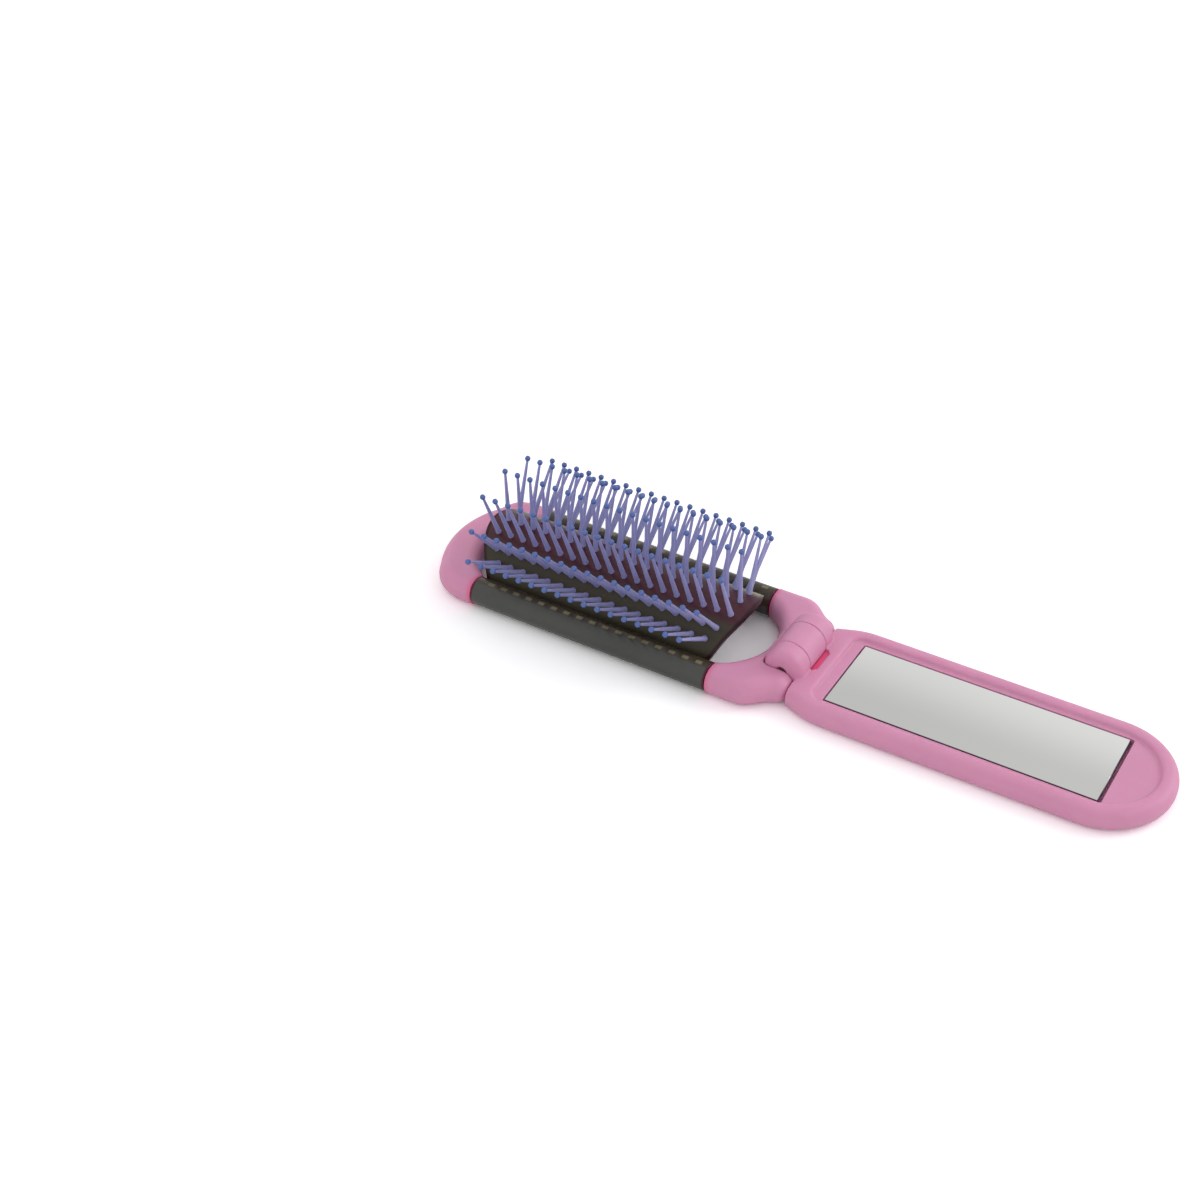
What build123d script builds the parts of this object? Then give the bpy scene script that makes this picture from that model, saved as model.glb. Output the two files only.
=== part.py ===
from build123d import *
from math import cos, degrees, radians, sin, sqrt
import os

# Folding hairbrush with a mirror in its handle, open flat with the bristles popped up.
# X runs from the brush head to the handle, Y across, Z up. The origin is on the resting
# surface under the middle of the open brush. All sizes are in millimetres.

os.makedirs("parts", exist_ok=True)

# ---------------------------------------------------------------- driving dimensions

# Fold
brush_reach = 93.8        # hinge axis to the outer end of the bow
handle_reach = 86.6       # hinge axis to the round end of the handle
hinge_z = 6.3             # hinge axis above the resting surface
knuckle_r = 4.8           # round knuckles of yoke and handle
pin_r = 1.0               # steel hinge pin
running_gap = 0.05        # radial play of a shaft that turns in its bore
barrel_width = 7.6        # central knuckle on the yoke
arm_width = 4.8           # each knuckle arm on the handle
arm_rounding = 1.8        # over the outer end of an arm's knuckle
side_gap = 0.15           # between neighbouring knuckles
sweep_gap = 0.3           # round a knuckle, between it and the other moulding
stop_gap = 0.2            # between cheeks and handle when open
cheek_reach = 3.2         # hinge axis to the end of the yoke's cheeks
cheek_nose = 3.1          # rounding over the end of the cheeks
web_root = 1.0            # web of the central knuckle into the yoke
pin_recess = 0.3          # pin end inside the arm's bore
pin_chamfer = 0.15

# Brush frame
frame_thick = 6.8         # bow and yoke
frame_edge = 3.1          # rounding along the edges of bow and yoke
rail_y = 15.3             # rods and hems, off the middle plane
rail_z = 3.45
tube_r = 3.35             # outside of a hem tube
rod_r = 1.9               # stiff rod inside the hem
socket_depth = 5.0        # rod end in the bow or the yoke
tube_end_gap = 0.15       # hem tube to bow or yoke
bow_width = 10.2          # middle of the bow, along X
bow_depth = 17.0          # outer end of the bow to the hem tubes
bow_crown = 13.2          # the bow's end curves round over this length;
crown_hold = 9.7          # its curve leaves the end towards here, off the middle plane,
corner_hold = 8.4         # and reaches the side from here, off the bow's end
yoke_reach = 13.95        # hem tubes to the hinge axis
window_reach = 6.8        # crown of the yoke's window to the hinge axis
shoulder_reach = 7.0      # where the yoke starts to narrow, to the hinge axis
waist_y = 13.4            # half width at the hinge
shoulder_pull = 2.3       # the shoulder's curve holds its width to here, off the hinge axis
waist_pull = 1.6          # and from here it runs to the cheeks,
waist_spread = 0.4        # this much wider than they are

# Handle
handle_thick = 5.4
handle_half = 15.7        # half width, and radius of the round end
handle_edge = 2.4         # rounding along the handle's edges
handle_flare = 12.9       # hinge axis to where the handle has its full width
flare_run = 2.7           # the flare leaves the shoulder over this length,
flare_spread = 0.9        # this much wider,
flare_ease = 4.6          # and eases into the side over this length
end_wall = 5.6            # hinge axis to the handle's wall between the arms
dish_start = 8.5          # hinge axis to the dished floor
dish_depth = 1.0
rim_width = 3.9           # handle's side to the dished floor
dish_corner = 2.5
dish_rounding = 0.95      # rounded fall from the rim into the dish

# Mirror
mirror_start = 11.4       # hinge axis to the mirror
mirror_length = 62.0
mirror_margin = 1.3       # mirror's side to the edge of the dished floor
mirror_thick = 1.5
pad_thick = 0.3
pad_margin = 1.2          # pad smaller than the mirror all round
pocket_gap = 0.25         # round the mirror on three sides
pocket_end_gap = 0.7      # at the end away from the hinge

# Bristle sheet
arch_r = 12.0             # outside of the popped arch
arch_z = 1.9              # centre of the arch
sheet_thick = 0.9
sheet_overhang = 3.7      # crown of the sheet past the ends of the hems, on average
sheet_shift = 1.0         # middle of the sheet nearer to the bow than the hems' middle
sheet_end_r = 16.6        # plan radius of the sheet's rounded ends
arch_end = 62.0           # angle from the crown where the arch runs straight on to the hem
fold_gap = 0.2            # fold line between two strips of the sheet

# Pins
row_angles = (-55.5, -40.5, -21.0, 0.0, 21.0, 40.5, 55.5)
pin_pitch = 3.47
pin_margin = 3.2          # end of the sheet to a row's last pin, at least
bristle_length = 13.7     # sheet to the middle of the ball
root_width = 1.3          # square root of a pin, through the sheet
base_r = 0.65
neck_r = 0.42
ball_r = 0.68
bristle_sides = 6
rib_width = 1.7           # backing strip of a row, under the sheet
rib_thick = 0.7
rib_end = 1.6             # backing strip past its last pin
seat_gap = 0.05           # row in the sheet

# Working values
overrun = 5.0             # cuts run this far past what they cut
clear_length = 40.0       # space cut away on the handle's side of the hinge
close_enough = 0.001

# ---------------------------------------------------------------- worked-out places

hinge_x = (brush_reach - handle_reach) / 2
bow_end_x = hinge_x - brush_reach
bow_x = bow_end_x + bow_depth
yoke_x = hinge_x - yoke_reach
cheek_x = hinge_x + cheek_reach
shoulder_x = cheek_x + stop_gap
handle_end_x = hinge_x + handle_reach
sheet_x = (bow_x + yoke_x) / 2 - sheet_shift
sheet_crown = yoke_x - bow_x + 2 * sheet_overhang
dish_half = handle_half - rim_width
mirror_width = 2 * (dish_half - mirror_margin)
rail_outer = rail_y + frame_thick / 2
rail_inner = rail_y - frame_thick / 2
barrel_half = barrel_width / 2
arm_inner = barrel_half + side_gap
arm_outer = arm_inner + arm_width
cheek_inner = arm_outer + side_gap
hinge_plane = Plane(origin=(hinge_x, 0, hinge_z), x_dir=(1, 0, 0), z_dir=(0, -1, 0))


def long_edges(part, low, high, keep_out):
    """Outline edges of a plate's top and bottom, without those on the planes x = keep_out."""
    edges = part.edges().filter_by(
        lambda e: min(abs(e.center().Z - low), abs(e.center().Z - high)) < close_enough
    )
    return edges.filter_by(
        lambda e: all(abs(e.center().X - x) > close_enough for x in keep_out)
    )


def save(node, label):
    """Label a finished piece and write it."""
    node.part.label = label
    export_step(node.part, f"parts/{label}.step")


# ---------------------------------------------------------------- end bow

with BuildSketch() as bow_plan:
    with BuildLine():
        crown_x = bow_end_x + bow_crown
        corner_x = bow_end_x + corner_hold
        far_crown = Bezier(
            (bow_end_x, 0),
            (bow_end_x, crown_hold),
            (corner_x, rail_outer),
            (crown_x, rail_outer),
        )
        far_side = Line(far_crown @ 1, (bow_x, rail_outer))
        far_end = Line(far_side @ 1, (bow_x, rail_inner))
        inner = ThreePointArc(far_end @ 1, (bow_end_x + bow_width, 0), (bow_x, -rail_inner))
        near_end = Line(inner @ 1, (bow_x, -rail_outer))
        near_side = Line(near_end @ 1, (crown_x, -rail_outer))
        Bezier(
            near_side @ 1,
            (corner_x, -rail_outer),
            (bow_end_x, -crown_hold),
            far_crown @ 0,
        )
    make_face()

with BuildPart() as end_bow:
    with BuildSketch():
        add(bow_plan.sketch)
    extrude(amount=frame_thick)
    fillet(long_edges(end_bow.part, 0, frame_thick, (bow_x,)), frame_edge)
    with BuildSketch(Plane(origin=(bow_x, 0, 0), z_dir=(-1, 0, 0), x_dir=(0, 1, 0))):
        with Locations((-rail_y, -rail_z), (rail_y, -rail_z)):
            Circle(rod_r)
    extrude(amount=socket_depth, mode=Mode.SUBTRACT)
save(end_bow, "end_bow")

# ---------------------------------------------------------------- hinge yoke

with BuildSketch() as yoke_plan:
    with BuildLine():
        far_end = Line((yoke_x, rail_inner), (yoke_x, rail_outer))
        far_side = Line(far_end @ 1, (hinge_x - shoulder_reach, rail_outer))
        far_waist = Bezier(
            far_side @ 1,
            (hinge_x - shoulder_pull, rail_outer),
            (hinge_x - waist_pull, waist_y + waist_spread),
            (cheek_x, waist_y),
        )
        cheek_end = Line(far_waist @ 1, (cheek_x, -waist_y))
        near_waist = Bezier(
            cheek_end @ 1,
            (hinge_x - waist_pull, -waist_y - waist_spread),
            (hinge_x - shoulder_pull, -rail_outer),
            (hinge_x - shoulder_reach, -rail_outer),
        )
        near_side = Line(near_waist @ 1, (yoke_x, -rail_outer))
        near_end = Line(near_side @ 1, (yoke_x, -rail_inner))
        ThreePointArc(near_end @ 1, (hinge_x - window_reach, 0), far_end @ 0)
    make_face()

with BuildPart(hinge_plane) as hinge_room:
    Cylinder(knuckle_r + sweep_gap, 2 * cheek_inner)
    fillet(hinge_room.edges().filter_by(GeomType.CIRCLE), arm_rounding + side_gap)
    with BuildSketch(hinge_plane):
        Rectangle(clear_length, clear_length, align=(Align.MIN, Align.CENTER))
    extrude(amount=cheek_inner, both=True)

with BuildPart() as hinge_yoke:
    with BuildSketch():
        add(yoke_plan.sketch)
    extrude(amount=frame_thick)
    fillet(long_edges(hinge_yoke.part, 0, frame_thick, (yoke_x, cheek_x)), frame_edge)
    nose = hinge_yoke.edges().filter_by(Axis.Y).group_by(Axis.X)[-1].sort_by(Axis.Z)[-1]
    fillet(nose, cheek_nose)
    # room for the handle's arms and for the knuckle between them
    add(hinge_room.part, mode=Mode.SUBTRACT)
    # central knuckle with the web that carries it
    with BuildSketch(hinge_plane):
        Circle(knuckle_r)
        Rectangle(knuckle_r + sweep_gap + web_root, knuckle_r, align=(Align.MAX, Align.MAX))
    extrude(amount=barrel_half, both=True)
    with BuildSketch(hinge_plane):
        Circle(pin_r)
    extrude(amount=barrel_half, both=True, mode=Mode.SUBTRACT)
    with BuildSketch(Plane.YZ.offset(yoke_x)):
        with Locations((-rail_y, rail_z), (rail_y, rail_z)):
            Circle(rod_r)
    extrude(amount=socket_depth, mode=Mode.SUBTRACT)
save(hinge_yoke, "hinge_yoke")

# ---------------------------------------------------------------- hinge pin

with BuildPart() as hinge_pin:
    with BuildSketch(hinge_plane):
        Circle(pin_r)
    extrude(amount=arm_outer - pin_recess, both=True)
    chamfer(hinge_pin.edges().filter_by(GeomType.CIRCLE), pin_chamfer)
save(hinge_pin, "hinge_pin")

# ---------------------------------------------------------------- rods and hems

for side, name in ((-1, "near"), (1, "far")):
    with BuildPart() as side_rod:
        with BuildSketch(Plane.YZ.offset(bow_x - socket_depth)):
            with Locations((side * rail_y, rail_z)):
                Circle(rod_r)
        extrude(amount=yoke_x - bow_x + 2 * socket_depth)
    save(side_rod, f"side_rod_{name}")

    with BuildPart() as hem_tube:
        with BuildSketch(Plane.YZ.offset(bow_x + tube_end_gap)):
            with Locations((side * rail_y, rail_z)):
                Circle(tube_r)
                Circle(rod_r + running_gap, mode=Mode.SUBTRACT)
        extrude(amount=yoke_x - bow_x - 2 * tube_end_gap)
    save(hem_tube, f"hem_tube_{name}")

# ---------------------------------------------------------------- one bristle pin

# The ball is drawn flat-sided: its neck, its middle and a flat top.
ball_neck = sqrt(ball_r**2 - neck_r**2)
pin_rings = (
    (0, base_r),
    (bristle_length - ball_neck, neck_r),
    (bristle_length, ball_r),
    (bristle_length + ball_neck, neck_r),
)

with BuildPart() as bristle:
    for height, radius in pin_rings:
        with BuildSketch(Plane.XY.offset(height)):
            RegularPolygon(radius, bristle_sides)
    loft(ruled=True)
    Box(root_width, root_width, sheet_thick + 2 * seat_gap, align=(Align.CENTER, Align.CENTER, Align.MAX))

# ---------------------------------------------------------------- bristle sheet, row by row

end_centre = sheet_crown / 2 - sheet_end_r
plan_half = rail_y
plan_end = end_centre + sqrt(sheet_end_r**2 - plan_half**2)

with BuildSketch(Plane((sheet_x, 0, 0))) as sheet_plan:
    with BuildLine():
        left = ThreePointArc((-plan_end, plan_half), (-sheet_crown / 2, 0), (-plan_end, -plan_half))
        near = Line(left @ 1, (plan_end, -plan_half))
        right = ThreePointArc(near @ 1, (sheet_crown / 2, 0), (plan_end, plan_half))
        Line(right @ 1, left @ 0)
    make_face()


def row_plane(angle):
    """The plane that touches the arch at a row of pins, with Z along the pins."""
    tilt = radians(angle)
    origin = (sheet_x, arch_r * sin(tilt), arch_z + arch_r * cos(tilt))
    return Plane(origin=origin, x_dir=(1, 0, 0), z_dir=(0, sin(tilt), cos(tilt)))


def pin_count(angle):
    """How many pins fit along a row on the round-ended sheet."""
    across = arch_r * sin(radians(angle))
    room = 2 * (end_centre + sqrt(sheet_end_r**2 - across**2) - pin_margin)
    return int(room / pin_pitch) + 1


def row_places(count):
    """Pin places along a row, centred on the sheet."""
    first = -(count - 1) / 2 * pin_pitch
    return [(first + step * pin_pitch, 0) for step in range(count)]


def strip_profile(low, high):
    """Section of the sheet between two angles from the crown, in the YZ plane."""
    with BuildSketch(Plane.YZ.offset(sheet_x)) as section:
        with BuildLine():
            outside = CenterArc((0, arch_z), arch_r, 90 - high, high - low)
            inside = CenterArc((0, arch_z), arch_r - sheet_thick, 90 - high, high - low)
            Line(outside @ 0, inside @ 0)
            Line(outside @ 1, inside @ 1)
        make_face()
    return section.sketch


fold_angles = [(a + b) / 2 for a, b in zip(row_angles, row_angles[1:])]
half_fold = degrees(fold_gap / 2 / arch_r)
lean = radians(arch_end)
arch_end_y = arch_r * sin(lean)
arch_end_z = arch_z + arch_r * cos(lean)
hem_run = (rail_y - arch_end_y) * cos(lean) + (arch_end_z - rail_z) * sin(lean)

for number, angle in enumerate(row_angles, start=1):
    count = pin_count(angle)
    first_row = number == 1
    last_row = number == len(row_angles)
    low = -arch_end if first_row else fold_angles[number - 2] + half_fold
    high = arch_end if last_row else fold_angles[number - 1] - half_fold

    with BuildPart() as strip:
        extrude(strip_profile(low, high), amount=sheet_crown / 2, both=True)
        if first_row or last_row:
            side = -1 if first_row else 1
            # straight run from the arch down to the hem
            run_plane = Plane(
                origin=(sheet_x, side * arch_end_y, arch_end_z),
                x_dir=(1, 0, 0),
                z_dir=(0, side * sin(lean), cos(lean)),
            )
            with BuildSketch(run_plane):
                with Locations((0, side * hem_run / 2)):
                    Rectangle(sheet_crown, hem_run)
            extrude(amount=-sheet_thick)
            with Locations(Location((sheet_x, side * rail_y, rail_z), (0, 90, 0))):
                Cylinder(tube_r, sheet_crown + overrun, mode=Mode.SUBTRACT)
        extrude(sheet_plan.sketch, amount=arch_z + arch_r + overrun, mode=Mode.INTERSECT)
        with BuildSketch(row_plane(angle)):
            with Locations(row_places(count)):
                Rectangle(root_width + 2 * seat_gap, root_width + 2 * seat_gap)
        extrude(amount=overrun, both=True, mode=Mode.SUBTRACT)
    save(strip, f"sheet_strip_{number}")

    with BuildPart(row_plane(angle)) as pin_row:
        rib_length = (count - 1) * pin_pitch + 2 * rib_end
        with Locations((0, 0, -sheet_thick - seat_gap)):
            Box(rib_length, rib_width, rib_thick, align=(Align.CENTER, Align.CENTER, Align.MAX))
        with Locations([(x, y, 0) for x, y in row_places(count)]):
            add(bristle.part)
    save(pin_row, f"pin_row_{number}")

# ---------------------------------------------------------------- handle

round_x = handle_end_x - handle_half
flare_x = hinge_x + handle_flare
dish_floor = handle_thick - dish_depth

with BuildSketch() as handle_plan:
    with BuildLine():
        shoulder = Line((shoulder_x, -waist_y), (shoulder_x, waist_y))
        far_flare = Bezier(
            shoulder @ 1,
            (shoulder_x + flare_run, waist_y + flare_spread),
            (flare_x - flare_ease, handle_half),
            (flare_x, handle_half),
        )
        far_side = Line(far_flare @ 1, (round_x, handle_half))
        round_end = ThreePointArc(far_side @ 1, (handle_end_x, 0), (round_x, -handle_half))
        near_side = Line(round_end @ 1, (flare_x, -handle_half))
        Bezier(
            near_side @ 1,
            (flare_x - flare_ease, -handle_half),
            (shoulder_x + flare_run, -waist_y - flare_spread),
            shoulder @ 0,
        )
    make_face()

with BuildSketch(Plane.XY.offset(dish_floor)) as dish_plan:
    with Locations((round_x, 0)):
        Circle(dish_half)
    dish_x = hinge_x + dish_start
    with Locations((dish_x, 0)):
        Rectangle(round_x - dish_x, 2 * dish_half, align=(Align.MIN, Align.CENTER))
    fillet(dish_plan.vertices().group_by(Axis.X)[0], dish_corner)

with BuildPart(hinge_plane.offset(arm_inner)) as near_knuckle:
    Cylinder(knuckle_r, arm_width, align=(Align.CENTER, Align.CENTER, Align.MIN))
    outer_rim = near_knuckle.edges().filter_by(GeomType.CIRCLE).sort_by(Axis.Y)[0]
    fillet(outer_rim, arm_rounding)

with BuildPart() as handle_shell:
    with BuildSketch():
        add(handle_plan.sketch)
    extrude(amount=handle_thick)
    fillet(long_edges(handle_shell.part, 0, handle_thick, (shoulder_x,)), handle_edge)
    extrude(dish_plan.sketch, amount=handle_thick, mode=Mode.SUBTRACT)
    rim = handle_shell.faces().filter_by(Plane.XY).sort_by(Axis.Z)[-1]
    fillet(rim.inner_wires()[0].edges(), dish_rounding)
    # pocket for the mirror
    mirror_x = hinge_x + mirror_start
    pocket_floor = dish_floor - mirror_thick - pad_thick
    with BuildSketch(Plane.XY.offset(pocket_floor)):
        with Locations((mirror_x - pocket_gap, 0)):
            Rectangle(
                mirror_length + pocket_gap + pocket_end_gap,
                mirror_width + 2 * pocket_gap,
                align=(Align.MIN, Align.CENTER),
            )
    extrude(amount=handle_thick, mode=Mode.SUBTRACT)
    # opening between the arms, back to the end wall
    with BuildSketch():
        with Locations((hinge_x, 0)):
            Rectangle(end_wall, 2 * arm_inner, align=(Align.MIN, Align.CENTER))
    extrude(amount=handle_thick, mode=Mode.SUBTRACT)
    # two knuckle arms
    for side in (-1, 1):
        arm_plane = hinge_plane.offset(-side * (arm_inner + arm_width / 2))
        with BuildSketch(arm_plane):
            Polygon(
                (0, 0),
                (0, -knuckle_r),
                (shoulder_x - hinge_x, -hinge_z),
                (end_wall, -hinge_z),
                (end_wall, handle_thick - hinge_z),
                (0, handle_thick - hinge_z),
                align=None,
            )
        extrude(amount=arm_width / 2, both=True)
    add(near_knuckle.part)
    mirror(near_knuckle.part, about=Plane.XZ)
    with BuildSketch(hinge_plane):
        Circle(pin_r + running_gap)
    extrude(amount=arm_outer, both=True, mode=Mode.SUBTRACT)
save(handle_shell, "handle_shell")

# ---------------------------------------------------------------- mirror and its pad

with BuildPart() as mirror_pad:
    with BuildSketch(Plane.XY.offset(pocket_floor)):
        with Locations((mirror_x + mirror_length / 2, 0)):
            Rectangle(mirror_length - 2 * pad_margin, mirror_width - 2 * pad_margin)
    extrude(amount=pad_thick)
save(mirror_pad, "mirror_pad")

with BuildPart() as mirror_glass:
    with BuildSketch(Plane.XY.offset(pocket_floor + pad_thick)):
        with Locations((mirror_x + mirror_length / 2, 0)):
            Rectangle(mirror_length, mirror_width)
    extrude(amount=mirror_thick)
save(mirror_glass, "mirror")
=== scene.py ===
"""The looks of a folding hairbrush with a mirror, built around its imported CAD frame.

Lengths are in metres. X runs from the brush head to the handle, Y across, Z up.
"""

import math

import bmesh
import bpy
from bpy.props import FloatProperty, FloatVectorProperty, IntProperty, PointerProperty
from bpy.types import Operator, Panel, PropertyGroup
from mathutils import Matrix, Vector


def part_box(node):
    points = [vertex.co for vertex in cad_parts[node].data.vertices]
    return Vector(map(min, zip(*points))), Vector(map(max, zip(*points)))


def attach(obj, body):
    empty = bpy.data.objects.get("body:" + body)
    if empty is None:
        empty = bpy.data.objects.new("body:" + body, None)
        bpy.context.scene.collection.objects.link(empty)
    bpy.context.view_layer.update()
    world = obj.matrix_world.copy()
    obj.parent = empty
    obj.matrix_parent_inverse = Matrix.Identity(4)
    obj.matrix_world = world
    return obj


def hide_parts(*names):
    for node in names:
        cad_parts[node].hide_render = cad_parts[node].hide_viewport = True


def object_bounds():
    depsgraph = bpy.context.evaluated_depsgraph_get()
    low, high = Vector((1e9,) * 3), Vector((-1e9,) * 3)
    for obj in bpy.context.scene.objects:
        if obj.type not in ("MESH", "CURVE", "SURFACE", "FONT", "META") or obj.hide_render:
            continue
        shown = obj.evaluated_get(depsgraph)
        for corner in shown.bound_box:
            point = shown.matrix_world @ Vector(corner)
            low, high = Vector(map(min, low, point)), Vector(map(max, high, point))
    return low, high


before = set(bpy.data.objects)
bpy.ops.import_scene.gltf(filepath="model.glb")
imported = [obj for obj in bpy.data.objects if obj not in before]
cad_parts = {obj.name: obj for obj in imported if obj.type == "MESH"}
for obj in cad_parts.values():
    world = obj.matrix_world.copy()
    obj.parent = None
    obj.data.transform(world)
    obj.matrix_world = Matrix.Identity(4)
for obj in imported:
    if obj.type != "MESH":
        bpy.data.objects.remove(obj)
CAD_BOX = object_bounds()

bl_info = {
    "name": "Folding hairbrush with mirror",
    "version": (1, 0, 0),
    "blender": (4, 5, 0),
    "location": "3D View > Sidebar > Hairbrush",
    "description": "Models the finished surfaces of a folding pocket hairbrush",
    "category": "Add Mesh",
}

MM = 0.001
TOLERANCE = 0.001 * MM

# ------------------------------------------------------------- places from the frame

CROWN_LOW, CROWN_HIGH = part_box("sheet_strip_4")
HEM_LOW, HEM_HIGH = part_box("hem_tube_far")
MIRROR_LOW, MIRROR_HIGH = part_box("mirror")
HINGE_LOW, HINGE_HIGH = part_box("hinge_pin")
HINGE = (HINGE_LOW + HINGE_HIGH) / 2
SHEET_X = (CROWN_LOW.x + CROWN_HIGH.x) / 2
SHEET_HALF = (CROWN_HIGH.x - CROWN_LOW.x) / 2
HEM_Y = (HEM_LOW.y + HEM_HIGH.y) / 2
HEM_Z = (HEM_LOW.z + HEM_HIGH.z) / 2
HEM_RADIUS = (HEM_HIGH.z - HEM_LOW.z) / 2
HEM_MIDDLE = (HEM_LOW.x + HEM_HIGH.x) / 2
HEM_HALF = (HEM_HIGH.x - HEM_LOW.x) / 2

# Softening of the pink mouldings after their even grid
MOST_FACES = 60000
SOFTEN_FACTOR = 0.5
SOFTEN_STEPS = 4

# Outer corners of the bow, filled out, and its end, drawn in past BOW_TAPER_X
BOW_CORNER = (-83.5 * MM, 16.8 * MM)
CORNER_REACH = 6.5 * MM
CORNER_FILL = 0.6 * MM
CORNER_RISE = 0.9 * MM
BOW_TAPER_X = -86.5 * MM
BOW_TAPER = 0.2

# Easing of the dish's far slope, clear of the mirror's pocket
DISH_EASE_GAP = 0.9 * MM
DISH_EASE_Z = 0.6 * MIRROR_HIGH.z
DISH_EASE_STEPS = 14

# Caps over the two ends of the hinge pin
CAP_THICK = 0.3 * MM
CAP_GAP = 0.03 * MM
CAP_LAP = 0.15 * MM

# Slot of the handle beside the central knuckle, and the thin floor in it
KNUCKLE_ROOM = 4.92 * MM
SLOT_HALF = 3.95 * MM
SLOT_WALL_X = 9.7 * MM
SLOT_FLOOR_Z = 5.05 * MM
SLOT_CUT = (1.5 * MM, 1.7 * SLOT_HALF, 2.0 * MM)
SLOT_CUT_RISE = 0.9 * MM
SLOT_FLOOR_START = 3.0 * MM
SLOT_FLOOR_LAP = 0.1 * MM
SLOT_FLOOR_WIDTH = 1.98 * SLOT_HALF
SLOT_FLOOR_THICK = 1.6 * MM
SLOT_FLOOR_BEVEL = 0.08 * MM

# Angle of each row of pins from the crown of the arch, in degrees, near side first
ROW_ANGLES = (-55.5, -40.5, -21.0, 0.0, 21.0, 40.5, 55.5)

# Rings of a pin above the sheet, those of its ball as shares of the angle to its ends, and how
# the pins seat on the sheet and on their backing strip
FOOT_HEIGHT = 0.35 * MM
FOOT_DRAFT = 0.93
ROOT_HEIGHT = 0.85 * MM
BALL_RINGS = (-0.5, 0.0, 0.55, 1.0)
PIN_LAP = 0.1 * MM
RIB_GAP = 0.05 * MM
RIB_BEVEL = 0.2 * MM

# Mesh of the sheet's strips, and how far it stops short of a hem's middle
STRIP_CUTS = 71
STRIP_STEP = 2.5
RUN_ON_STEPS = 4
HEM_LAP = 1.6 * MM

# Where one colour gives way to the next; LIT stands for the painted reflections of light between
# the pins on the hems
# GLOW places the painted glow of light through the pink plastic beside the hems' ends
GLOW_REACH = 1.8 * MM
GLOW_END = 0.1 * MM
GLOW_SHARE = 0.6
CROWN_FADE = (5.0 * MM, 7.6 * MM)
AMBER_PLACE = (CROWN_HIGH.x - 2.5 * MM, 6.5 * MM)
AMBER_FADE = (3.4 * MM, 0.4 * MM)
RIM_FADE = (0.85 * MM, 0.45 * MM)
HEM_TOP_FADE = 1.0 * MM
SEAM_FADE = (1.5 * MM, 0.5 * MM)
LIT_WAVE = (-0.1, 0.4)
LIT_SIDES = (0.62 * MM, 0.32 * MM)
LIT_END_FADE = 0.4 * MM
LIT_LEAST = 0.45
LIT_MOST = 0.85
HEM_END_FADE = (0.6 * MM, 0.35 * MM)
MIRROR_NEAR_Y = 0.65 * MIRROR_LOW.y
MIRROR_EDGE_FADE = (0.03 * MM, 0.005 * MM)


# ------------------------------------------------------------- settings


def length_setting(name, description, default):
    """A length in metres that the panel shows."""
    return FloatProperty(name=name, description=description, default=default, unit="LENGTH")


def colour_setting(name, description, default):
    """A colour that the panel shows."""
    return FloatVectorProperty(
        name=name, description=description, default=default, subtype="COLOR", min=0, max=1)


class BristleSettings(PropertyGroup):
    """Sizes and colours of the bristle pins."""

    pitch: length_setting("Pitch", "Distance between neighbouring pins of a row", 3.47 * MM)
    length: length_setting("Length", "From the sheet to the middle of the ball", 13.7 * MM)
    root_radius: length_setting("Root radius", "Radius of a pin just above its foot", 0.6 * MM)
    neck_radius: length_setting("Neck radius", "Radius of a pin under its ball", 0.31 * MM)
    foot_radius: length_setting(
        "Foot radius", "Radius of the round foot on the sheet", 0.74 * MM)
    ball_radius: length_setting("Ball radius", "Radius of the ball on a pin's tip", 0.7 * MM)
    sides: IntProperty(
        name="Sides", description="Flat sides round a pin before it is shaded smooth",
        default=8, min=5, max=16)
    rib_end: length_setting("Rib end", "Backing strip of a row past its last pin", 1.6 * MM)
    rib_width: length_setting("Rib width", "Width of a row's backing strip", 1.7 * MM)
    rib_thick: length_setting("Rib thickness", "Thickness of a row's backing strip", 0.7 * MM)
    shaft_colour: colour_setting("Shaft colour", "Lilac of the pins", (0.33, 0.33, 0.59))
    ball_colour: colour_setting("Ball colour", "Blue of the ball tips", (0.085, 0.145, 0.40))


class SheetSettings(PropertyGroup):
    """Form and colours of the flexible sheet that carries the pins."""

    arch_radius: length_setting("Arch radius", "Outside radius of the popped arch", 12.0 * MM)
    thickness: length_setting("Thickness", "Thickness of the sheet", 0.9 * MM)
    end_radius: length_setting(
        "End radius", "Radius of the sheet's rounded ends, seen from above", 16.6 * MM)
    hem_angle: FloatProperty(
        name="Hem angle", description="Angle from the crown where the arch runs straight on",
        default=math.radians(62), subtype="ANGLE")
    slope_colour: colour_setting(
        "Slope colour", "Smoky olive of the sheet's slopes", (0.045, 0.037, 0.022))
    crown_colour: colour_setting(
        "Crown colour", "Wine red of the sheet between the middle rows", (0.068, 0.016, 0.026))
    rim_colour: colour_setting(
        "Rim colour", "Dark wine red of the sheet's two ends", (0.022, 0.003, 0.006))
    corner_colour: colour_setting(
        "Corner colour", "Amber where light comes through the sheet's far corner",
        (0.20, 0.15, 0.04))


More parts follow.
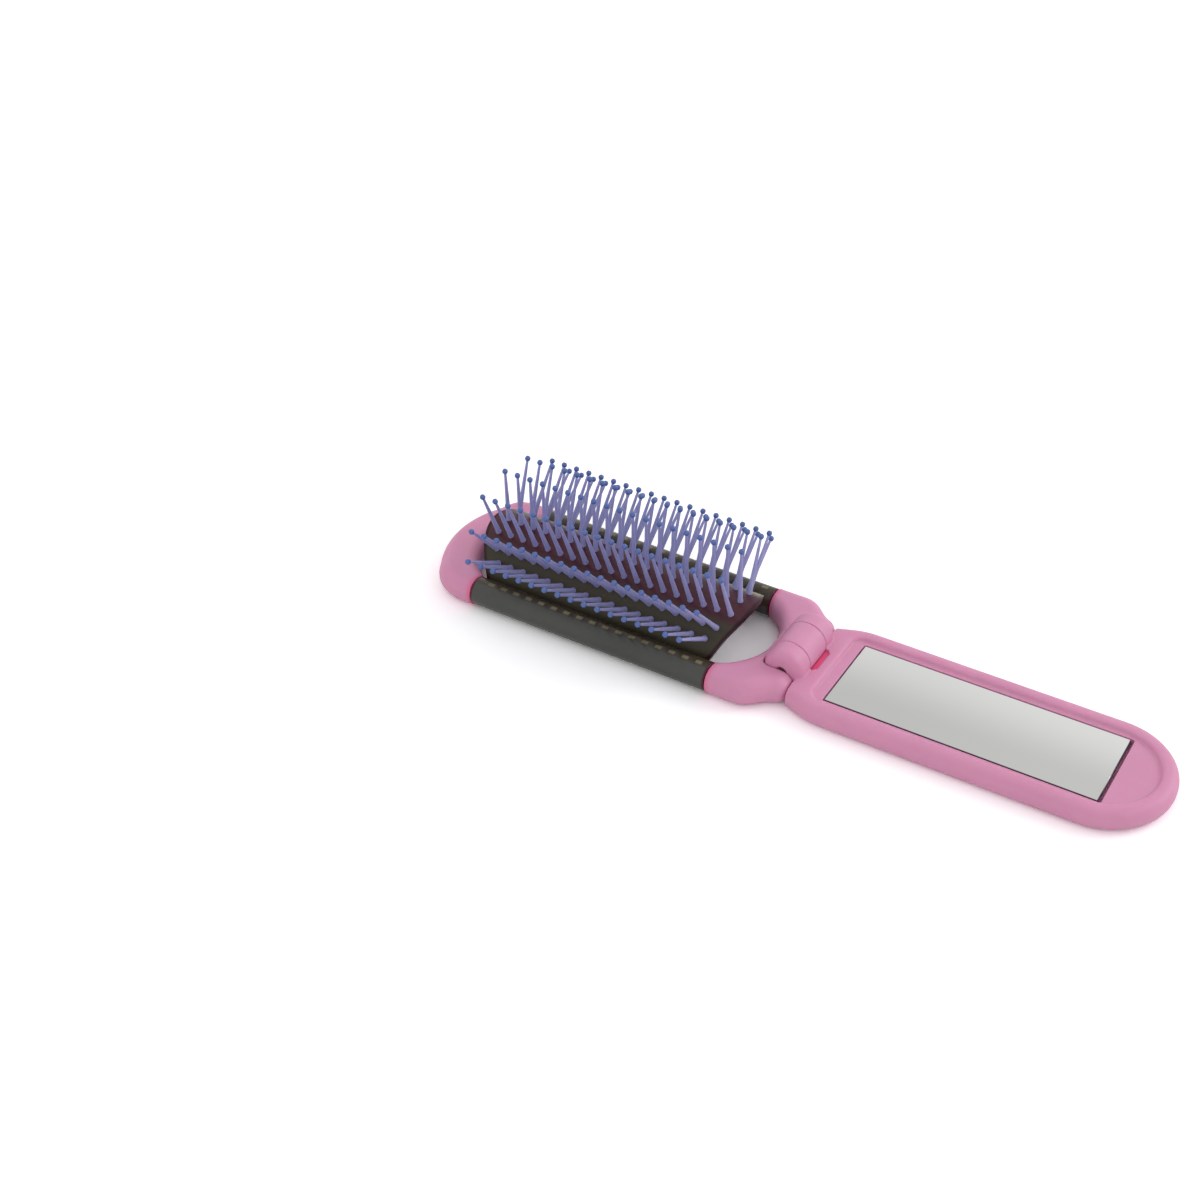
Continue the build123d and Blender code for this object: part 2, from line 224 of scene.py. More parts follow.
class HemSettings(PropertyGroup):
    """The tubular hems that turn on the side rods."""

    bore_radius: length_setting("Bore radius", "Inside radius of a hem", 1.95 * MM)
    rim_rounding: length_setting("Rim rounding", "Rounding of a hem's two ends", 0.25 * MM)
    colour: colour_setting("Colour", "Smoky grey of the hems", (0.062, 0.062, 0.056))
    seam_colour: colour_setting(
        "Seam colour", "Brown of the seam where the sheet runs into a hem", (0.048, 0.036, 0.020))
    # painted reflection: the pale olive dashes along the top of each hem stand for light
    # reflected between the pins; no slots are cut
    glint_colour: colour_setting(
        "Slot colour", "Olive light through the seam between two pins", (0.19, 0.17, 0.085))
    end_colour: colour_setting(
        "End colour", "Wine red of a hem's two ends", (0.065, 0.006, 0.018))
    glint_shift: length_setting(
        "Slot shift", "Middle of the lit slots from the middle of the sheet", 1.75 * MM)
    glint_side: length_setting(
        "Slot side", "Middle of the lit slots outwards from the top of a hem", 0.25 * MM)
    glint_reach: length_setting(
        "Slot reach", "From the middle slot to the end of the last one", 28.8 * MM)


class MouldingSettings(PropertyGroup):
    """Finish of the three pink mouldings."""

    colour: colour_setting(
        "Colour", "Pink of the bow, the yoke and the handle", (0.68, 0.29, 0.46))
    # painted glow: this deep pink stands for light that comes through thin walls and narrow gaps
    # of the pink plastic
    painted_glow_colour: colour_setting(
        "Deep colour", "Deep pink of thin walls and narrow gaps", (0.78, 0.07, 0.20))
    roughness: FloatProperty(
        name="Roughness", description="Roughness of the moulded plastic",
        default=0.5, min=0, max=1, subtype="FACTOR")
    grid: FloatProperty(
        name="Grid", description="Size of the grid that softens a moulding's edges",
        default=0.2 * MM, unit="LENGTH", precision=5)


class MirrorSettings(PropertyGroup):
    """The mirror plate in the handle."""

    bevel: length_setting("Bevel", "Ground edge of the plate", 0.2 * MM)
    # painted reflection: the near and far tones and the lift at the round end paint how bright
    # the mirror's reflection is
    near_reflection_tone: colour_setting(
        "Near tint", "Silver tone along the near edge", (0.63, 0.63, 0.62))
    far_reflection_tone: colour_setting("Far tint", "Silver tone along the far edge", (0.82, 0.82, 0.81))
    edge_tint: colour_setting("Edge tint", "Tone of the ground edges", (0.14, 0.12, 0.13))
    painted_round_end_lift: FloatProperty(
        name="Lift", description="How much brighter the mirror is at the handle's round end",
        default=0.07, min=0, max=1, subtype="FACTOR")


class HardwareSettings(PropertyGroup):
    """The steel rods, the hinge pin and the mirror's pad."""

    steel_colour: colour_setting(
        "Steel colour", "Grey of the rods and the hinge pin", (0.55, 0.55, 0.56))
    foam_colour: colour_setting(
        "Foam colour", "Off-white of the pad under the mirror", (0.8, 0.8, 0.76))


class StageSettings(PropertyGroup):
    """Camera, lamp and floor."""

    camera_place: FloatVectorProperty(
        name="Camera place", description="Where the camera stands",
        default=(0.12888, -0.26792, 0.25227), subtype="TRANSLATION", unit="LENGTH")
    azimuth: FloatProperty(
        name="Azimuth", description="Camera's turn round the object",
        default=math.radians(30.005), subtype="ANGLE")
    elevation: FloatProperty(
        name="Elevation", description="Camera's height angle",
        default=math.radians(39.881), subtype="ANGLE")
    sensor_width: FloatProperty(
        name="Sensor width", description="Width of the camera's sensor in millimetres",
        default=36, min=10)
    lens: FloatProperty(
        name="Lens", description="Focal length in millimetres",
        default=51.703, min=10)
    lens_shift: FloatVectorProperty(
        name="Lens shift", description="How far the picture's middle lies off the lens's axis",
        default=(-0.07067, 0.04155), size=2)
    floor_size: length_setting("Floor size", "Side of the table", 6)
    floor_colour: colour_setting("Floor colour", "White of the table", (0.9, 0.9, 0.9))
    floor_seen: FloatProperty(
        name="Floor seen", description="White of the table as the camera sees it",
        default=1.32, min=0)
    key_place: FloatVectorProperty(
        name="Lamp place", description="Where the lamp hangs",
        default=(0.5, 0.5, 0.45), subtype="TRANSLATION", unit="LENGTH")
    key_size: length_setting("Lamp size", "Side of the lamp", 0.4)
    key_power: FloatProperty(
        name="Lamp power", description="Power of the lamp in watts",
        default=1.6, min=0)
    world_strength: FloatProperty(
        name="World strength", description="Light from all round",
        default=1.05, min=0)


class HairbrushSettings(PropertyGroup):
    """All settings of the hairbrush."""

    bristles: PointerProperty(type=BristleSettings)
    sheet: PointerProperty(type=SheetSettings)
    hems: PointerProperty(type=HemSettings)
    mouldings: PointerProperty(type=MouldingSettings)
    mirror: PointerProperty(type=MirrorSettings)
    hardware: PointerProperty(type=HardwareSettings)
    stage: PointerProperty(type=StageSettings)


# ------------------------------------------------------------- modelling helpers


def deselect_all():
    """Leave nothing selected."""
    bpy.ops.object.select_all(action="DESELECT")


def make_active(obj):
    """Select this object alone."""
    deselect_all()
    obj.select_set(True)
    bpy.context.view_layer.objects.active = obj


def select_points(obj, test):
    """In edit mode, select the points whose place passes the test, and what lies between them."""
    mesh = bmesh.from_edit_mesh(obj.data)
    for face in mesh.faces:
        face.select = False
    for edge in mesh.edges:
        edge.select = False
    for vert in mesh.verts:
        vert.select = test(vert.co)
    mesh.select_flush(True)
    bmesh.update_edit_mesh(obj.data)


def add_modifier(obj, kind, **values):
    """Add a modifier with these values and apply it."""
    modifier = obj.modifiers.new(kind.lower(), kind)
    for name, value in values.items():
        setattr(modifier, name, value)
    make_active(obj)
    bpy.ops.object.modifier_apply(modifier=modifier.name)


def join(pieces, name):
    """Join pieces into one object with its origin at the frame's."""
    make_active(pieces[0])
    for piece in pieces:
        piece.select_set(True)
    if len(pieces) > 1:
        bpy.ops.object.join()
    obj = bpy.context.object
    obj.name = name
    obj.data.name = name
    bpy.ops.object.transform_apply(location=True, rotation=True, scale=True)
    return obj


def outward(obj):
    """Merge doubles and turn all faces outwards."""
    make_active(obj)
    bpy.ops.object.mode_set(mode="EDIT")
    bpy.ops.mesh.select_all(action="SELECT")
    bpy.ops.mesh.remove_doubles(threshold=TOLERANCE)
    bpy.ops.mesh.normals_make_consistent(inside=False)
    bpy.ops.object.mode_set(mode="OBJECT")


def smooth(obj, degrees=40):
    """Shade smooth across edges flatter than this angle."""
    make_active(obj)
    bpy.ops.object.shade_smooth_by_angle(angle=math.radians(degrees))


def place_piece(obj, body, slot, *nodes):
    """Let a finished piece ride on its body and stand for its nodes."""
    if nodes:
        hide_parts(*nodes)
    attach(obj, body)


# ------------------------------------------------------------- node helpers


def new_material(name):
    """A material with an empty node tree, its Principled shader and its output."""
    material = bpy.data.materials.new(name)
    material.use_nodes = True
    nodes = material.node_tree.nodes
    nodes.clear()
    shader = nodes.new("ShaderNodeBsdfPrincipled")
    output = nodes.new("ShaderNodeOutputMaterial")
    material.node_tree.links.new(shader.outputs["BSDF"], output.inputs["Surface"])
    return material, shader


def add_node(tree, kind, values=None, **settings):
    """Add a node, with its settings and its unlinked input values."""
    node = tree.nodes.new(kind)
    for name, value in settings.items():
        setattr(node, name, value)
    for name, value in (values or {}).items():
        node.inputs[name].default_value = value
    return node


def object_coordinates(tree):
    """The Object output of a Texture Coordinate node."""
    return add_node(tree, "ShaderNodeTexCoord").outputs["Object"]


def ramp_mask(tree, value, start, end):
    """0 before start and 1 past end, smooth between them; start may lie past end."""
    mask = add_node(
        tree, "ShaderNodeMapRange", {"From Min": start, "From Max": end},
        interpolation_type="SMOOTHSTEP")
    tree.links.new(value, mask.inputs["Value"])
    return mask.outputs["Result"]


def calculate(tree, operation, first, second=None):
    """One Math node on sockets or numbers."""
    node = add_node(tree, "ShaderNodeMath", operation=operation)
    for socket, value in zip(node.inputs, (first, second)):
        if isinstance(value, bpy.types.NodeSocket):
            tree.links.new(value, socket)
        elif value is not None:
            socket.default_value = value
    return node.outputs[0]


def blend_colours(tree, mask, first, second):
    """The first colour where the mask is 0 and the second where it is 1."""
    blend = add_node(tree, "ShaderNodeMix", data_type="RGBA")
    for name, colour in (("A", first), ("B", second)):
        if isinstance(colour, bpy.types.NodeSocket):
            tree.links.new(colour, blend.inputs[name])
        else:
            blend.inputs[name].default_value = (*colour, 1)
    tree.links.new(mask, blend.inputs["Factor"])
    return blend.outputs["Result"]


def scale_colour(tree, colour, factor):
    """The colour times a factor."""
    tone = add_node(tree, "ShaderNodeVectorMath", operation="SCALE")
    tree.links.new(colour, tone.inputs[0])
    tree.links.new(factor, tone.inputs["Scale"])
    return tone.outputs["Vector"]


def split_coordinates(tree):
    """The Object coordinates as three numbers."""
    split = add_node(tree, "ShaderNodeSeparateXYZ")
    tree.links.new(object_coordinates(tree), split.inputs["Vector"])
    return split.outputs["X"], split.outputs["Y"], split.outputs["Z"]


def set_material(obj, *materials):
    """Give an object these materials and no others, and keep its faces' choice among them."""
    while len(obj.data.materials):
        obj.data.materials.pop()
    for material in materials:
        obj.data.materials.append(material)


# ------------------------------------------------------------- finishes

ROUGHNESS_SWING = 0.06
GRAIN_DEPTH = 0.02 * MM
TIP_GAIN = 1.25
TIP_LIFT = 0.03


def moulded_surface_group():
    """Fine moulded texture: a mottled tone, a roughness and a bump height."""
    tree = bpy.data.node_groups.new("moulded_surface", "ShaderNodeTree")
    sockets = {
        "INPUT": {"Vector": "Vector", "Colour": "Color", "Mottle": "Float",
                  "Roughness": "Float", "Grain Scale": "Float"},
        "OUTPUT": {"Colour": "Color", "Roughness": "Float", "Height": "Float"},
    }
    for way, kinds in sockets.items():
        for name, kind in kinds.items():
            tree.interface.new_socket(name, in_out=way, socket_type=f"NodeSocket{kind}")
    entry = tree.nodes.new("NodeGroupInput")
    leave = tree.nodes.new("NodeGroupOutput")
    link = tree.links.new

    cloud = add_node(
        tree, "ShaderNodeTexNoise", {"Scale": 90.0, "Detail": 3.0, "Roughness": 0.6})
    link(entry.outputs["Vector"], cloud.inputs["Vector"])
    spread = add_node(
        tree, "ShaderNodeMapRange",
        {"From Min": 0.3, "From Max": 0.7, "To Min": -1.0, "To Max": 1.0})
    link(cloud.outputs["Fac"], spread.inputs["Value"])
    swing = spread.outputs["Result"]
    mottle = calculate(tree, "MULTIPLY", swing, entry.outputs["Mottle"])
    tone = scale_colour(tree, entry.outputs["Colour"], calculate(tree, "ADD", mottle, 1.0))
    link(tone, leave.inputs["Colour"])

    rough = calculate(tree, "MULTIPLY", swing, ROUGHNESS_SWING)
    rough = calculate(tree, "ADD", rough, entry.outputs["Roughness"])
    link(rough, leave.inputs["Roughness"])

    grain = add_node(tree, "ShaderNodeTexNoise", {"Detail": 2.0, "Roughness": 0.5})
    link(entry.outputs["Vector"], grain.inputs["Vector"])
    link(entry.outputs["Grain Scale"], grain.inputs["Scale"])
    link(grain.outputs["Fac"], leave.inputs["Height"])
    return tree


def use_moulded_surface(material, shader, colour, mottle, roughness, grain_scale, bump):
    """Place the shared moulded surface in a material with its own values."""
    tree = material.node_tree
    group = add_node(tree, "ShaderNodeGroup", node_tree=bpy.data.node_groups["moulded_surface"])
    link = tree.links.new
    link(object_coordinates(tree), group.inputs["Vector"])
    if isinstance(colour, bpy.types.NodeSocket):
        link(colour, group.inputs["Colour"])
    else:
        group.inputs["Colour"].default_value = (*colour, 1)
    group.inputs["Mottle"].default_value = mottle
    group.inputs["Roughness"].default_value = roughness
    group.inputs["Grain Scale"].default_value = grain_scale
    link(group.outputs["Colour"], shader.inputs["Base Color"])
    link(group.outputs["Roughness"], shader.inputs["Roughness"])
    height = add_node(tree, "ShaderNodeBump", {"Strength": bump, "Distance": GRAIN_DEPTH})
    link(group.outputs["Height"], height.inputs["Height"])
    link(height.outputs["Normal"], shader.inputs["Normal"])


def let_light_in(shader, weight, radius, scale):
    """Let light into the plastic, further in the channels with the larger radius."""
    shader.inputs["Subsurface Weight"].default_value = weight
    shader.inputs["Subsurface Radius"].default_value = radius
    shader.inputs["Subsurface Scale"].default_value = scale


def distance_from(tree, value, middle):
    """How far a coordinate lies from a middle, on either side."""
    return calculate(tree, "ABSOLUTE", calculate(tree, "SUBTRACT", value, middle))


def length_of(tree, first, second):
    """Length of a line from its two components."""
    squares = calculate(tree, "MULTIPLY", first, first)
    squares = calculate(tree, "ADD", squares, calculate(tree, "MULTIPLY", second, second))
    return calculate(tree, "SQRT", squares)


def pink_plastic(settings):
    """Satin pink moulded plastic, with a painted glow of deeper pink beside the ends of the hems,
    where light comes through the plastic.
    """
    material, shader = new_material("pink_plastic")
    tree = material.node_tree
    # painted glow: deeper pink where light comes through the plastic beside the hems' ends
    past_middle = distance_from(tree, split_coordinates(tree)[0], HEM_MIDDLE)
    painted_glow = ramp_mask(tree, past_middle, HEM_HALF + GLOW_REACH, HEM_HALF + GLOW_END)
    painted_glow = calculate(tree, "MULTIPLY", painted_glow, GLOW_SHARE)
    colour = blend_colours(tree, painted_glow, settings.colour, settings.painted_glow_colour)
    use_moulded_surface(
        material, shader, colour, mottle=0.03, roughness=settings.roughness,
        grain_scale=6000.0, bump=0.25)
    let_light_in(shader, weight=0.5, radius=(1.0, 0.2, 0.45), scale=1.2 * MM)
    return material


def painted_glow_pink(settings):
    """The pink plastic where it is thin, painted deep pink for the glow of light that comes
    through it.
    """
    material, shader = new_material("painted_glow_pink")
    use_moulded_surface(
        material, shader, settings.painted_glow_colour, mottle=0.05, roughness=settings.roughness,
        grain_scale=6000.0, bump=0.2)
    return material


def lilac_pin(settings):
    """Lilac pin, a little paler towards its tip."""
    material, shader = new_material("lilac_pin")
    tree = material.node_tree
    along = add_node(tree, "ShaderNodeAttribute", attribute_name="along_pin")
    ramp = add_node(tree, "ShaderNodeValToRGB")
    pale = [min(1.0, tone * TIP_GAIN + TIP_LIFT) for tone in settings.shaft_colour]
    ramp.color_ramp.elements[0].color = (*settings.shaft_colour, 1)
    ramp.color_ramp.elements[1].color = (*pale, 1)
    tree.links.new(along.outputs["Fac"], ramp.inputs["Fac"])
    use_moulded_surface(
        material, shader, ramp.outputs["Color"], mottle=0.04, roughness=0.42,
        grain_scale=5000.0, bump=0.15)
    let_light_in(shader, weight=0.3, radius=(0.5, 0.5, 1.0), scale=0.5 * MM)
    return material


def blue_ball(settings):
    """Blue ball tip."""
    material, shader = new_material("blue_ball")
    use_moulded_surface(
        material, shader, settings.ball_colour, mottle=0.04, roughness=0.35,
        grain_scale=5000.0, bump=0.1)
    return material


def smoky_sheet(settings):
    """Glossy smoky sheet: olive on its slopes and wine red between the middle rows."""
    material, shader = new_material("smoky_sheet")
    tree = material.node_tree
    x, y, _ = split_coordinates(tree)
    past_crown = ramp_mask(tree, calculate(tree, "ABSOLUTE", y), *CROWN_FADE)
    colour = blend_colours(tree, past_crown, settings.crown_colour, settings.slope_colour)
    # amber light at the far corner by the hinge
    corner_x = calculate(tree, "SUBTRACT", x, AMBER_PLACE[0])
    corner_y = calculate(tree, "SUBTRACT", y, AMBER_PLACE[1])
    corner = ramp_mask(tree, length_of(tree, corner_x, corner_y), *AMBER_FADE)
    colour = blend_colours(tree, corner, colour, settings.corner_colour)
    # dark rims along both rounded ends
    radius = settings.end_radius
    past_centre = distance_from(tree, x, SHEET_X)
    past_centre = calculate(tree, "SUBTRACT", past_centre, SHEET_HALF - radius)
    from_centre = length_of(tree, past_centre, y)
    rim = ramp_mask(tree, from_centre, radius - RIM_FADE[0], radius - RIM_FADE[1])
    rim = calculate(tree, "MULTIPLY", rim, calculate(tree, "GREATER_THAN", past_centre, 0.0))
    colour = blend_colours(tree, rim, colour, settings.rim_colour)
    use_moulded_surface(
        material, shader, colour, mottle=0.12, roughness=0.3,
        grain_scale=2500.0, bump=0.15)
    shader.inputs["Specular IOR Level"].default_value = 0.3
    return material


def smoky_hem(settings, pitch):
    """Glossy dark grey hem with a brown seam, painted reflections of light between the pins and
    wine red ends.
    """
    material, shader = new_material("smoky_hem")
    tree = material.node_tree
    x, y, z = split_coordinates(tree)
    outward_y = calculate(tree, "SUBTRACT", calculate(tree, "ABSOLUTE", y), HEM_Y)
    upper = ramp_mask(tree, z, HEM_Z, HEM_Z + HEM_TOP_FADE)
    seam = calculate(tree, "MULTIPLY", upper, ramp_mask(tree, outward_y, *SEAM_FADE))
    colour = blend_colours(tree, seam, settings.colour, settings.seam_colour)
    # painted reflections of light along the top, one between two pins
    reach = settings.glint_reach
    along = calculate(tree, "SUBTRACT", x, SHEET_X + settings.glint_shift)
    wave = calculate(tree, "COSINE", calculate(tree, "MULTIPLY", along, math.tau / pitch))
    within = ramp_mask(tree, calculate(tree, "ABSOLUTE", along), reach, reach - LIT_END_FADE)
    glints = calculate(tree, "MULTIPLY", ramp_mask(tree, wave, *LIT_WAVE), within)
    band = ramp_mask(tree, distance_from(tree, outward_y, settings.glint_side), *LIT_SIDES)
    glints = calculate(tree, "MULTIPLY", glints, calculate(tree, "MULTIPLY", band, upper))
    # the painted reflections are dimmer towards the bow
    fade = calculate(tree, "ADD", ramp_mask(tree, along, -reach, 0.5 * reach), LIT_LEAST)
    glints = calculate(tree, "MULTIPLY", glints, calculate(tree, "MINIMUM", fade, LIT_MOST))
    colour = blend_colours(tree, glints, colour, settings.glint_colour)
    # wine red at both ends
    past_middle = distance_from(tree, x, HEM_MIDDLE)
    ends = ramp_mask(tree, past_middle, HEM_HALF - HEM_END_FADE[0], HEM_HALF - HEM_END_FADE[1])
    colour = blend_colours(tree, ends, colour, settings.end_colour)
    use_moulded_surface(
        material, shader, colour, mottle=0.1, roughness=0.2,
        grain_scale=2500.0, bump=0.08)
    shader.inputs["Specular IOR Level"].default_value = 0.4
    return material


def silver_mirror(settings):
    """Silvered plate with a painted reflection that brightens towards its far edge and the
    handle's round end.
    """
    material, shader = new_material("silver_mirror")
    tree = material.node_tree
    x, y, z = split_coordinates(tree)
    # painted reflection across the plate, from the near tone to the far tone
    across = ramp_mask(tree, y, MIRROR_NEAR_Y, MIRROR_HIGH.y)
    tint = blend_colours(tree, across, settings.near_reflection_tone, settings.far_reflection_tone)
    top = MIRROR_HIGH.z
    face = ramp_mask(tree, z, top - MIRROR_EDGE_FADE[0], top - MIRROR_EDGE_FADE[1])
    tint = blend_colours(tree, face, settings.edge_tint, tint)
    # painted reflection, brighter towards the handle's round end
    along = ramp_mask(tree, x, MIRROR_LOW.x, MIRROR_HIGH.x)
    lift = calculate(tree, "MULTIPLY", along, settings.painted_round_end_lift)
    tone = scale_colour(tree, tint, calculate(tree, "ADD", lift, 1.0))
    tree.links.new(tone, shader.inputs["Base Color"])
    shader.inputs["Metallic"].default_value = 1.0
    dust = add_node(tree, "ShaderNodeTexNoise", {"Scale": 400.0, "Detail": 2.0})
    tree.links.new(object_coordinates(tree), dust.inputs["Vector"])
    haze = add_node(tree, "ShaderNodeMapRange", {"To Min": 0.05, "To Max": 0.12})
    tree.links.new(dust.outputs["Fac"], haze.inputs["Value"])
    tree.links.new(haze.outputs["Result"], shader.inputs["Roughness"])
    return material


def drawn_steel(settings):
    """Drawn steel wire, with fine lines along it."""
    material, shader = new_material("drawn_steel")
    tree = material.node_tree
    link = tree.links.new
    stretch = add_node(tree, "ShaderNodeMapping", {"Scale": (20.0, 2000.0, 2000.0)})
    link(object_coordinates(tree), stretch.inputs["Vector"])
    lines = add_node(tree, "ShaderNodeTexNoise", {"Scale": 1.0, "Detail": 3.0})
    link(stretch.outputs["Vector"], lines.inputs["Vector"])
    rough = add_node(tree, "ShaderNodeMapRange", {"To Min": 0.25, "To Max": 0.45})
    link(lines.outputs["Fac"], rough.inputs["Value"])
    link(rough.outputs["Result"], shader.inputs["Roughness"])
    shader.inputs["Base Color"].default_value = (*settings.steel_colour, 1)
    shader.inputs["Metallic"].default_value = 1.0
    return material


def foam_pad(settings):
    """Adhesive foam under the mirror."""
    material, shader = new_material("foam_pad")
    use_moulded_surface(
        material, shader, settings.foam_colour, mottle=0.08, roughness=0.85,
        grain_scale=9000.0, bump=0.8)
    return material


def white_table(settings):
    """Matte white table that the camera sees brighter than it lights the hairbrush."""
    material, shader = new_material("white_table")
    tree = material.node_tree
    path = add_node(tree, "ShaderNodeLightPath")
    white = blend_colours(
        tree, path.outputs["Is Camera Ray"], settings.floor_colour, [settings.floor_seen] * 3)
    tree.links.new(white, shader.inputs["Base Color"])
    shader.inputs["Roughness"].default_value = 0.9
    shader.inputs["Specular IOR Level"].default_value = 0.1
    return material


# ------------------------------------------------------------- bristle pins


def model_pin(settings, thickness):
    """One pin along Z with its root at the origin: foot, shaft, neck and ball."""
    reach = math.sqrt(settings.ball_radius**2 - settings.neck_radius**2)
    tilt = math.asin(reach / settings.ball_radius)
    # height above the sheet and radius of each ring above the root
    rings = [
        (0.0, settings.foot_radius),
        (FOOT_HEIGHT, settings.foot_radius * FOOT_DRAFT),
        (ROOT_HEIGHT, settings.root_radius),
        (settings.length - reach, settings.neck_radius),
    ]
    for share in BALL_RINGS:
        height = settings.length + settings.ball_radius * math.sin(share * tilt)
        rings.append((height, settings.ball_radius * math.cos(share * tilt)))
    bpy.ops.mesh.primitive_cylinder_add(
        vertices=settings.sides, radius=settings.foot_radius, depth=thickness,
        end_fill_type="NGON", location=(0, 0, -thickness / 2))
    pin = bpy.context.object
    bpy.ops.object.transform_apply(location=True)
    bpy.ops.object.mode_set(mode="EDIT")
    top = 0.0
    radius = settings.foot_radius
    for height, next_radius in rings[1:]:
        level = top
        select_points(pin, lambda co: co.z > level - TOLERANCE)
        bpy.ops.mesh.extrude_region_move(TRANSFORM_OT_translate={"value": (0, 0, height - top)})
        ratio = next_radius / radius
        bpy.ops.transform.resize(value=(ratio, ratio, 1), center_override=(0, 0, height))
        top = height
        radius = next_radius
    bpy.ops.object.mode_set(mode="OBJECT")
    # how far each point stands along the pin, and the ball's own material
    along = pin.data.attributes.new("along_pin", "FLOAT", "POINT")
    for vert, value in zip(pin.data.vertices, along.data):
        value.value = max(0.0, vert.co.z / settings.length)
    ball_start = settings.length - reach - 10 * TOLERANCE
    for face in pin.data.polygons:
        low = min(pin.data.vertices[i].co.z for i in face.vertices)
        face.material_index = int(low > ball_start)
    return pin


def row_matrix(angle, arch_radius):
    """Places a pin that stands on the origin on the arch, at this angle from its crown."""
    arch_z = CROWN_HIGH.z - arch_radius
    tilt = math.radians(angle)
    across = arch_radius * math.sin(tilt)
    up = arch_z + arch_radius * math.cos(tilt)
    return Matrix.Translation((SHEET_X, across, up)) @ Matrix.Rotation(-tilt, 4, "X")


class HAIRBRUSH_OT_bristles(Operator):
    """Model one bristle pin and copy it along the seven rows"""

    bl_idname = "hairbrush.bristles"
    bl_label = "Bristle pins"

    def execute(self, context):
        settings = context.scene.hairbrush.bristles
        sheet = context.scene.hairbrush.sheet
        materials = (lilac_pin(settings), blue_ball(settings))
        deselect_all()
        master = model_pin(settings, sheet.thickness + PIN_LAP)
        set_material(master, *materials)
        for number, angle in enumerate(ROW_ANGLES, start=1):
            low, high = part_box(f"pin_row_{number}")
            count = round((high.x - low.x - 2 * settings.rib_end) / settings.pitch) + 1
            placed = row_matrix(angle, sheet.arch_radius)
            rib = self.rib(settings, high.x - low.x, sheet, placed)
            set_material(rib, *materials)
            pieces = [rib]
            for step in range(count):
                pin = master.copy()
                pin.data = master.data.copy()
                context.collection.objects.link(pin)
                shift = (step - (count - 1) / 2) * settings.pitch
                pin.matrix_world = placed @ Matrix.Translation((shift, 0, 0))
                pieces.append(pin)
            row = join(pieces, f"bristles_row_{number}")
            smooth(row, degrees=60)
            place_piece(row, f"row_{number}", "lilac_pins", f"pin_row_{number}")
        bpy.data.objects.remove(master)
        return {"FINISHED"}

    def rib(self, settings, length, sheet, placed):
        """The backing strip under the sheet."""
        thick = settings.rib_thick
        bpy.ops.mesh.primitive_cube_add(size=1)
        rib = bpy.context.object
        rib.scale = (length, settings.rib_width, thick)
        bpy.ops.object.transform_apply(scale=True)
        add_modifier(rib, "BEVEL", width=RIB_BEVEL, segments=2)
        drop = -sheet.thickness - RIB_GAP - thick / 2
        rib.matrix_world = placed @ Matrix.Translation((0, 0, drop))
        return rib


# ------------------------------------------------------------- bristle sheet


